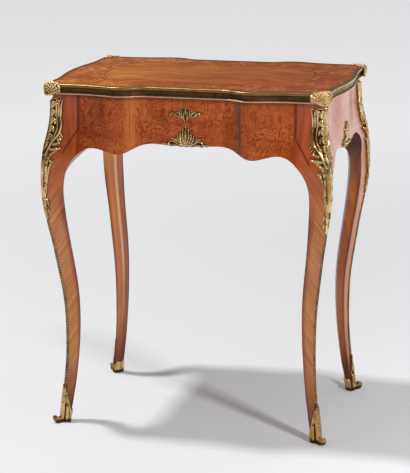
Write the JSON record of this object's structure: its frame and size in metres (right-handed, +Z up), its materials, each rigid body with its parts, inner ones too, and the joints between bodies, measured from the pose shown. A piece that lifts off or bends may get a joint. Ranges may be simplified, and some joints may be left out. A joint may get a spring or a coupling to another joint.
{
  "type": "ladies writing table",
  "caption": "Small serpentine writing table on cabriole legs with a frieze drawer, marquetry top, brass edge moulding and gilt bronze mounts.",
  "frame": {"origin": "floor level under the middle of the table", "axes": "+Z up, +X to the sitter's right, +Y to the back; the drawer faces -Y"},
  "size_m": [0.6314, 0.444, 0.754],
  "materials": {
    "gilt_bronze": "chased and gilt, satin",
    "brass_moulding": "drawn brass, toned",
    "steel": "filed steel",
    "reserve_veneer": "french polish",
    "stringing": "french polish",
    "marquetry_veneer": "french polish",
    "leg_veneer": "french polish",
    "frieze_veneer": "french polish",
    "oak": "bare planed timber"
  },
  "bodies": {
    "carcass": {"back_apron": "frieze_veneer", "chute_back_left": "gilt_bronze", "chute_back_right": "gilt_bronze", "chute_front_left": "gilt_bronze", "chute_front_right": "gilt_bronze", "corner_mount_back_left": "gilt_bronze", "corner_mount_back_right": "gilt_bronze", "corner_mount_front_left": "gilt_bronze", "corner_mount_front_right": "gilt_bronze", "drawer_cheek_left": "oak", "drawer_cheek_right": "oak", "drawer_kicker_left": "oak", "drawer_kicker_right": "oak", "drawer_runner_left": "oak", "drawer_runner_right": "oak", "drawer_stops": "oak", "edge_moulding_back": "brass_moulding", "edge_moulding_front": "brass_moulding", "edge_moulding_left": "brass_moulding", "edge_moulding_right": "brass_moulding", "front_block_left": "frieze_veneer", "front_block_right": "frieze_veneer", "front_bottom_rail": "oak", "front_top_rail": "oak", "leg_back_left": "leg_veneer", "leg_back_right": "leg_veneer", "leg_bead_back_left": "gilt_bronze", "leg_bead_back_right": "gilt_bronze", "leg_bead_front_left": "gilt_bronze", "leg_bead_front_right": "gilt_bronze", "leg_front_left": "leg_veneer", "leg_front_right": "leg_veneer", "mount_pins": "gilt_bronze", "sabot_back_left": "gilt_bronze", "sabot_back_right": "gilt_bronze", "sabot_front_left": "gilt_bronze", "sabot_front_right": "gilt_bronze", "side_apron_left": "frieze_veneer", "side_apron_right": "frieze_veneer", "side_mount_left": "gilt_bronze", "side_mount_right": "gilt_bronze", "top_board": "oak", "top_centre_reserve": "reserve_veneer", "top_fixing_blocks": "oak", "top_fixing_screws": "steel", "top_marquetry_border": "marquetry_veneer", "top_stringing": "stringing"},
    "drawer": {"drawer_front": "frieze_veneer", "drawer_side_right": "oak", "drawer_side_left": "oak", "drawer_back": "oak", "drawer_bottom": "oak", "escutcheon": "gilt_bronze", "drawer_mount": "gilt_bronze", "drawer_mount_pins": "gilt_bronze", "lock_case": "steel", "lock_screws": "steel"},
    "bolt": {"lock_bolt": "steel"}
  },
  "joints": [
    {"name": "drawer_slide", "type": "slide", "parent": "carcass", "child": "drawer", "axis": [0, -1, 0], "range_m": [0, 0.25]},
    {"name": "lock_bolt_slide", "type": "slide", "parent": "drawer", "child": "bolt", "axis": [0, 0, 1], "range_m": [0, 0.008]}
  ]
}
